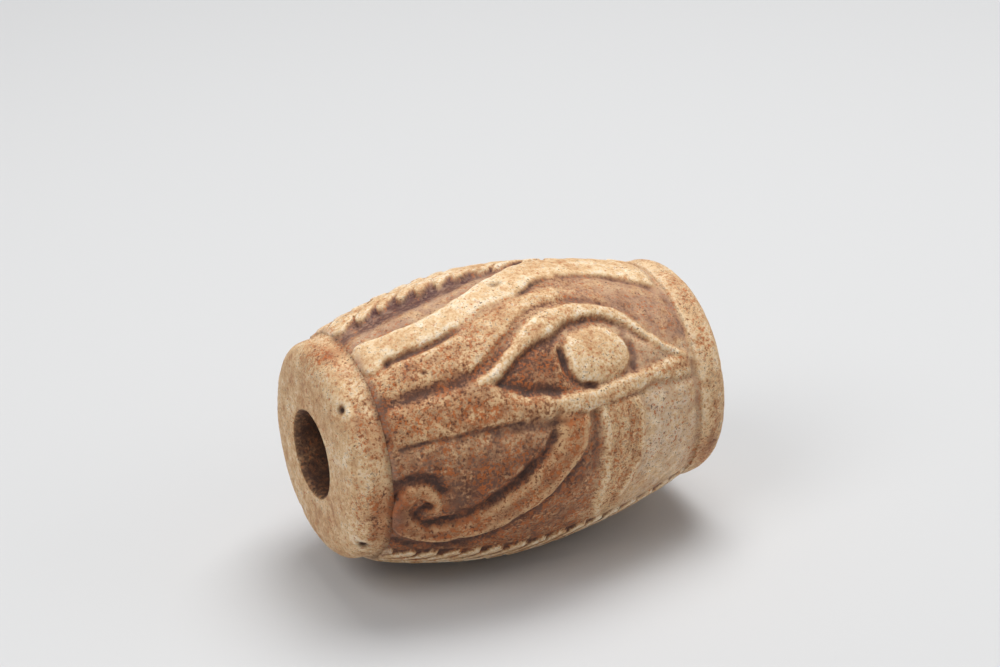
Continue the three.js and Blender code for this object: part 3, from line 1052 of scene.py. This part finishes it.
def linear(hex_colour: str) -> tuple[float, float, float, float]:
    """Turns an sRGB hex colour into Blender's linear values."""
    shares = [int(hex_colour[start:start + 2], 16) / 255.0 for start in (1, 3, 5)]
    values = [share / 12.92 if share <= 0.04045 else ((share + 0.055) / 1.055) ** 2.4 for share in shares]
    return (*values, 1.0)


MATH = "ShaderNodeMath"
NOISE = "ShaderNodeTexNoise"
SPAN = "ShaderNodeMapRange"
MIX = "ShaderNodeMix"
POINT_VALUES = ("hollow", "proud", "redness", "tone", "mauve", "shade", "dark")
# Numbers of a colour mix's inputs: the share, the colour under and the colour over.
SHARE, UNDER, OVER = 0, 6, 7


def between(value: bpy.types.Node | bpy.types.NodeSocket, low: float, high: float, top: float = 1.0) -> dict:
    """Inputs of a step from nought where the value is at low to top where it is at high."""
    return {"Value": value, "From Min": low, "From Max": high, "To Max": top}


@dataclass
class StoneNodes:
    """The material's node tree, with the place in the stone and the mesh's own values as sockets."""

    tree: bpy.types.NodeTree

    def __post_init__(self) -> None:
        """Empties the tree and adds what everything else reads."""
        self.tree.nodes.clear()
        self.place = self.add("ShaderNodeTexCoord").outputs["Object"]
        self.value = {
            label: self.add("ShaderNodeAttribute", attribute_name=label).outputs["Fac"]
            for label in POINT_VALUES
        }

    def add(self, kind: str, inputs: dict | tuple = (), **settings: object) -> bpy.types.Node:
        """Adds one node.

        Args:
            kind: Blender's name for the kind of node.
            inputs: What each input gets, by name or number or in a row: a plain value, a socket or a node,
                which stands for its first result.
            settings: Values of the node's own attributes.

        Returns:
            The new node.
        """
        node = self.tree.nodes.new(kind)
        for attribute, setting in settings.items():
            setattr(node, attribute, setting)
        for key, value in inputs.items() if isinstance(inputs, dict) else enumerate(inputs):
            if isinstance(value, bpy.types.Node):
                value = next(socket for socket in value.outputs if socket.enabled)
            if isinstance(value, bpy.types.NodeSocket):
                self.tree.links.new(value, node.inputs[key])
            else:
                node.inputs[key].default_value = value
        return node

    def blotches(self, millimetres: float, detail: float = 2.0, roughness: float = 0.5) -> dict:
        """Inputs of a noise whose blotches have a real size."""
        scale = 1.0 / (millimetres * MM)
        return {"Vector": self.place, "Scale": scale, "Detail": detail, "Roughness": roughness}

    def patches(self, blotches: dict, low: float, high: float, top: float = 1.0) -> bpy.types.Node:
        """Patches with soft edges: a noise, stepped from nought to top between two of its levels."""
        noise = self.add(NOISE, blotches)
        return self.add(SPAN, between(noise, low, high, top), interpolation_type="SMOOTHSTEP")


@dataclass(frozen=True)
class WornSteatite:
    """Soft stone, such as steatite that has lost its glaze: cut with flint or bronze and worn by handling.

    The eye sees a matt buff stone full of fine red-brown grains, cream where it is worn, mauve and dark
    brown where dirt and old glaze stay in the cuts. The dark brown and violet of the dirt are also painted
    shade in the cuts, hollows, rope gaps and bore, and proud edges carry a painted highlight. The sizes in
    clouds, flecks and stains are millimetres.
    """

    tones: tuple[tuple[float, str], ...] = (
        (0.0, "#5A3521"), (0.2, "#855434"), (0.4, "#B58257"),
        (0.56, "#CFA374"), (0.75, "#E5C497"), (1.0, "#F8E7CC"),
    )
    middle_level: float = 0.58
    clouds: tuple[tuple[float, float], ...] = ((4.5, 0.5), (1.8, 0.6))
    flecks: tuple[tuple[float, float], ...] = ((0.7, 0.7), (0.3, 0.5))
    grain_mm: float = 0.3
    grain_limit: float = 0.24
    red_darkening: float = 0.42
    # Proud edges are painted paler, as wear and a painted highlight; hollows and dark cuts are painted
    # darker, as painted shade.
    level_shifts: tuple[tuple[str, float], ...] = (("proud", 0.15), ("hollow", -0.16), ("shade", -0.32))
    mauve: str = "#B89880"
    stains: tuple[tuple[float, float, float, str], ...] = (
        (0.36, 2.4, 0.9, "#B7632B"), (0.3, 1.6, 0.6, "#6B3822"),
    )
    # The dirt colours also stand for painted shade in the cuts, hollows, rope gaps and bore.
    dirt: str = "#412B20"
    violet_dirt_and_shade: str = "#5C3531"
    pit: str = "#3A2012"
    speck_mm: float = 0.2
    ior: float = 1.5
    least_roughness: float = 0.66
    bump_mm: float = 0.11

    def clean_stone(self, stone: StoneNodes) -> bpy.types.Node:
        """Colour of the stone before dirt and stains, with painted shade in hollows and cuts and a painted
        highlight on proud edges and pale ridges.

        Noises shift a level that is looked up in the row of tones. Flecks and grain are stronger where the
        stone is red, and the level stays lower there.

        Args:
            stone: The material's nodes.

        Returns:
            The node that gives the colour.
        """
        value = stone.value
        middle = self.middle_level - sum(weight for _, weight in self.clouds) / 2.0
        level = stone.add(MATH, (value["tone"], middle), operation="ADD")
        for size, weight in self.clouds:
            cloud = stone.add(NOISE, stone.blotches(size))
            level = stone.add(MATH, (cloud, weight, level), operation="MULTIPLY_ADD")
        flecks = -sum(weight for _, weight in self.flecks) / 2.0
        for size, weight in self.flecks:
            fleck = stone.add(NOISE, stone.blotches(size))
            flecks = stone.add(MATH, (fleck, weight, flecks), operation="MULTIPLY_ADD")
        strength = stone.add(MATH, (value["redness"], 0.5, 0.65), operation="MULTIPLY_ADD")
        level = stone.add(MATH, (flecks, strength, level), operation="MULTIPLY_ADD")
        grain = stone.add(NOISE, stone.blotches(self.grain_mm, 3.0, 0.7))
        grain = stone.add(MATH, (grain, -0.5), operation="ADD")
        strength = stone.add(MATH, (value["redness"], 1.9, 0.38), operation="MULTIPLY_ADD")
        grain = stone.add(MATH, (grain, strength), operation="MULTIPLY")
        smeared = stone.add(SPAN, between(value["shade"], 0.1, 0.7, 0.75), interpolation_type="SMOOTHSTEP")
        clear = stone.add(MATH, (1.0, smeared), operation="SUBTRACT")
        grain = stone.add(MATH, (grain, clear), operation="MULTIPLY")
        grain = stone.add(MATH, (grain, self.grain_limit), operation="MINIMUM")
        level = stone.add(MATH, (level, grain), operation="ADD")
        top = stone.add(MATH, (value["redness"], -self.red_darkening, 1.0), operation="MULTIPLY_ADD")
        level = stone.add(MATH, (level, top), operation="MINIMUM")
        # Painted highlight on proud edges and pale ridges, painted shade in hollows and dark cuts.
        for label, shift in self.level_shifts:
            level = stone.add(MATH, (value[label], shift, level), operation="MULTIPLY_ADD")
        ramp = stone.add("ShaderNodeValToRGB", {"Fac": level})
        colours = ramp.color_ramp.elements
        for index, (position, colour) in enumerate(self.tones):
            element = colours[index] if index < 2 else colours.new(position)
            element.position = position
            element.color = linear(colour)
        patchy = stone.patches(stone.blotches(1.2), 0.2, 0.6, 0.85)
        share = stone.add(MATH, (value["mauve"], patchy), operation="MULTIPLY")
        return stone.add(MIX, {SHARE: share, UNDER: ramp, OVER: linear(self.mauve)}, data_type="RGBA")

    def dirt_and_shade_in_cuts(self, stone: StoneNodes) -> bpy.types.Node:
        """Works out the dirt and painted shade that stay in the cuts, in patches, with a little of both in
        every hollow.

        Args:
            stone: The material's nodes.

        Returns:
            The node that gives the share of dirt.
        """
        patchy = stone.patches(stone.blotches(0.4, 3.0, 0.6), 0.35, 0.6, 0.7)
        patchy = stone.add(MATH, (patchy, 0.4), operation="ADD")
        dirt_and_shade_share = stone.add(SPAN, between(stone.value["shade"], 0.05, 0.95), interpolation_type="SMOOTHSTEP")
        dirt_and_shade_share = stone.add(MATH, (dirt_and_shade_share, patchy), operation="MULTIPLY", use_clamp=True)
        dirt_and_shade_share = stone.add(MATH, (dirt_and_shade_share, 0.82), operation="MULTIPLY")
        inputs = (stone.value["hollow"], 0.24, dirt_and_shade_share)
        return stone.add(MATH, inputs, operation="MULTIPLY_ADD", use_clamp=True)

    def stained(self, stone: StoneNodes, colour: bpy.types.Node, dirt_and_shade_share: bpy.types.Node) -> bpy.types.Node:
        """Lays fine rust and brown stains over a colour, but not on worn edges or over dirt and painted
        shade.

        Args:
            stone: The material's nodes.
            colour: The colour that is stained.
            dirt_and_shade_share: Share of dirt and painted shade in the cuts.

        Returns:
            The node that gives the stained colour.
        """
        worn = stone.add(MATH, (stone.value["proud"], 0.6), operation="MULTIPLY")
        inputs = (stone.value["shade"], -0.9, worn)
        worn = stone.add(MATH, inputs, operation="MULTIPLY_ADD", use_clamp=True)
        unworn = stone.add(MATH, (1.0, worn), operation="SUBTRACT")
        clean = stone.add(MATH, (1.0, dirt_and_shade_share), operation="SUBTRACT")
        kept = stone.add(MATH, (unworn, clean), operation="MULTIPLY")
        for size, patch_size, share, stain in self.stains:
            spots = stone.add(NOISE, stone.blotches(size, 3.0, 0.7))
            spots = stone.add(MATH, (stone.value["redness"], 0.1, spots), operation="MULTIPLY_ADD")
            spots = stone.add(SPAN, between(spots, 0.585, 0.66, share), interpolation_type="SMOOTHSTEP")
            patches = stone.patches(stone.blotches(patch_size), 0.3, 0.55)
            spots = stone.add(MATH, (spots, patches), operation="MULTIPLY")
            spots = stone.add(MATH, (spots, kept), operation="MULTIPLY")
            colour = stone.add(MIX, {SHARE: spots, UNDER: colour, OVER: linear(stain)}, data_type="RGBA")
        return colour

    def specks(self, stone: StoneNodes) -> bpy.types.Node:
        """Works out the tiny dark pits, which lie in patches.

        Args:
            stone: The material's nodes.

        Returns:
            The node that gives the share of pits.
        """
        specks = stone.patches(stone.blotches(self.speck_mm, 1.0, 0.4), 0.66, 0.74)
        patches = stone.patches(stone.blotches(1.8), 0.35, 0.6, 0.75)
        return stone.add(MATH, (specks, patches), operation="MULTIPLY")

    def grit(self, stone: StoneNodes, specks: bpy.types.Node) -> bpy.types.Node:
        """Works out the bump of the stone's fine and coarse grit and of its pits.

        Args:
            stone: The material's nodes.
            specks: Share of pits.

        Returns:
            The node that gives the bumped normal.
        """
        fine = stone.add(NOISE, stone.blotches(0.28, 3.0, 0.65))
        fine = stone.add(MATH, (fine, 0.55), operation="MULTIPLY")
        coarse = stone.add(NOISE, stone.blotches(1.0))
        height = stone.add(MATH, (coarse, 0.6, fine), operation="MULTIPLY_ADD")
        height = stone.add(MATH, (specks, -0.6, height), operation="MULTIPLY_ADD")
        return stone.add("ShaderNodeBump", {"Strength": 1.0, "Distance": self.bump_mm * MM, "Height": height})

    def build(self) -> bpy.types.Material:
        """Makes the material.

        Returns:
            A node material that reads Object coordinates and the mesh's own point values.
        """
        material = bpy.data.materials.new("worn_steatite")
        material.use_nodes = True
        stone = StoneNodes(material.node_tree)
        # Dirt and painted shade in the cuts, in dark brown and violet.
        dirt_and_shade_share = self.dirt_and_shade_in_cuts(stone)
        dirt = {SHARE: stone.value["mauve"], UNDER: linear(self.dirt), OVER: linear(self.violet_dirt_and_shade)}
        dirt = stone.add(MIX, dirt, data_type="RGBA")
        colour = {SHARE: dirt_and_shade_share, UNDER: self.clean_stone(stone), OVER: dirt}
        colour = self.stained(stone, stone.add(MIX, colour, data_type="RGBA"), dirt_and_shade_share)
        specks = self.specks(stone)
        pits = stone.add(MATH, (stone.value["dark"], specks), operation="ADD", use_clamp=True)
        colour = stone.add(MIX, {SHARE: pits, UNDER: colour, OVER: linear(self.pit)}, data_type="RGBA")
        roughness = stone.patches(stone.blotches(0.8), 0.3, 0.7, 0.14)
        shader = stone.add("ShaderNodeBsdfPrincipled", {
            "IOR": self.ior,
            "Base Color": colour,
            "Roughness": stone.add(MATH, (roughness, self.least_roughness), operation="ADD"),
            "Normal": self.grit(stone, specks),
        })
        stone.add("ShaderNodeOutputMaterial", {"Surface": shader})
        return material


@dataclass(frozen=True)
class PhotoCamera:
    """The photograph's view: where the camera stands round the bead, and how it is framed."""

    azimuth: float = -25.904
    elevation: float = 25.086
    roll: float = -1.942
    distance: float = 250.0
    aside: float = -0.09
    above: float = 7.068
    sensor: float = 36.0
    lens: float = 92.64

    def build(self) -> bpy.types.Object:
        """Makes the camera, which looks along a line that passes beside and above the bead's middle."""
        azimuth, elevation, roll = np.radians([self.azimuth, self.elevation, self.roll])
        back = Vector((
            np.sin(azimuth) * np.cos(elevation), -np.cos(azimuth) * np.cos(elevation), np.sin(elevation),
        ))
        level = Vector((np.cos(azimuth), np.sin(azimuth), 0.0))
        upright = back.cross(level)
        right = level * np.cos(roll) + upright * np.sin(roll)
        up = upright * np.cos(roll) - level * np.sin(roll)
        place = (back * self.distance + right * self.aside + up * self.above) * MM
        data = bpy.data.cameras.new("photo_camera")
        data.sensor_fit = "HORIZONTAL"
        data.sensor_width = self.sensor
        data.lens = self.lens
        data.clip_start = 0.01
        data.clip_end = 50.0
        camera = bpy.data.objects.new("photo_camera", data)
        turn = Matrix((right, up, back)).transposed()
        camera.matrix_world = Matrix.Translation(place) @ turn.to_4x4()
        bpy.context.scene.collection.objects.link(camera)
        bpy.context.scene.camera = camera
        return camera


@dataclass(frozen=True)
class SoftLight:
    """One studio soft box, aimed at the bead."""

    name: str
    place: tuple[float, float, float]
    width: float
    power: float
    colour: str = "#FFFFFF"

    def build(self) -> bpy.types.Object:
        """Makes the lamp at its place, facing the origin."""
        data = bpy.data.lights.new(self.name, "AREA")
        data.shape = "SQUARE"
        data.size = self.width * MM
        data.energy = self.power
        data.color = linear(self.colour)[:3]
        lamp = bpy.data.objects.new(self.name, data)
        lamp.location = Vector(self.place) * MM
        lamp.rotation_euler = (-Vector(self.place)).to_track_quat("-Z", "Y").to_euler()
        bpy.context.scene.collection.objects.link(lamp)
        return lamp


@dataclass(frozen=True)
class PaleStudio:
    """Plain pale floor and soft light from all round."""

    floor_level: float
    floor_width: float = 6000.0
    floor_colour: str = "#D0D0D0"
    sky_colour: str = "#F2F4F7"
    sky_strength: float = 0.36

    def build(self) -> None:
        """Makes the floor, the sky and the soft boxes."""
        half = self.floor_width / 2.0
        corners = np.array([(-half, -half), (half, -half), (half, half), (-half, half)])
        points = np.column_stack([corners, np.full(4, self.floor_level)]) * MM
        mesh = bpy.data.meshes.new("studio_floor")
        mesh.from_pydata(points, [], [(0, 1, 2, 3)])
        floor = bpy.data.objects.new("studio_floor", mesh)
        material = bpy.data.materials.new("pale_paper")
        material.use_nodes = True
        shader = material.node_tree.nodes["Principled BSDF"]
        shader.inputs["Base Color"].default_value = linear(self.floor_colour)
        shader.inputs["Roughness"].default_value = 0.9
        mesh.materials.append(material)
        bpy.context.scene.collection.objects.link(floor)
        world = bpy.data.worlds.new("studio_sky")
        world.use_nodes = True
        sky = world.node_tree.nodes["Background"]
        sky.inputs["Color"].default_value = linear(self.sky_colour)
        sky.inputs["Strength"].default_value = self.sky_strength
        bpy.context.scene.world = world
        for lamp in (
            SoftLight("overhead_box", (90.0, 80.0, 420.0), 260.0, 1.6),
            SoftLight("side_box", (330.0, -240.0, 230.0), 260.0, 0.2),
            SoftLight("front_box", (-320.0, -100.0, 360.0), 260.0, 0.72),
        ):
            lamp.build()


def main() -> None:
    """Builds the studio, the camera and the bead, and logs the bead's number of faces."""
    logging.basicConfig(level=logging.INFO, format="%(name)s: %(message)s")
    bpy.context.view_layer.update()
    form = BeadForm.from_frame()
    bpy.context.scene.view_settings.view_transform = "Standard"
    PhotoCamera().build()
    PaleStudio(form.flat_level).build()
    bead = StoneBead(form, EyeDrawing(form)).build("carved_bead")
    bead.data.materials.append(WornSteatite().build())
    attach(bead, "root")
    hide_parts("bead")
    log.info("carved_bead has %d faces", len(bead.data.polygons))


if __name__ == "__main__":
    main()
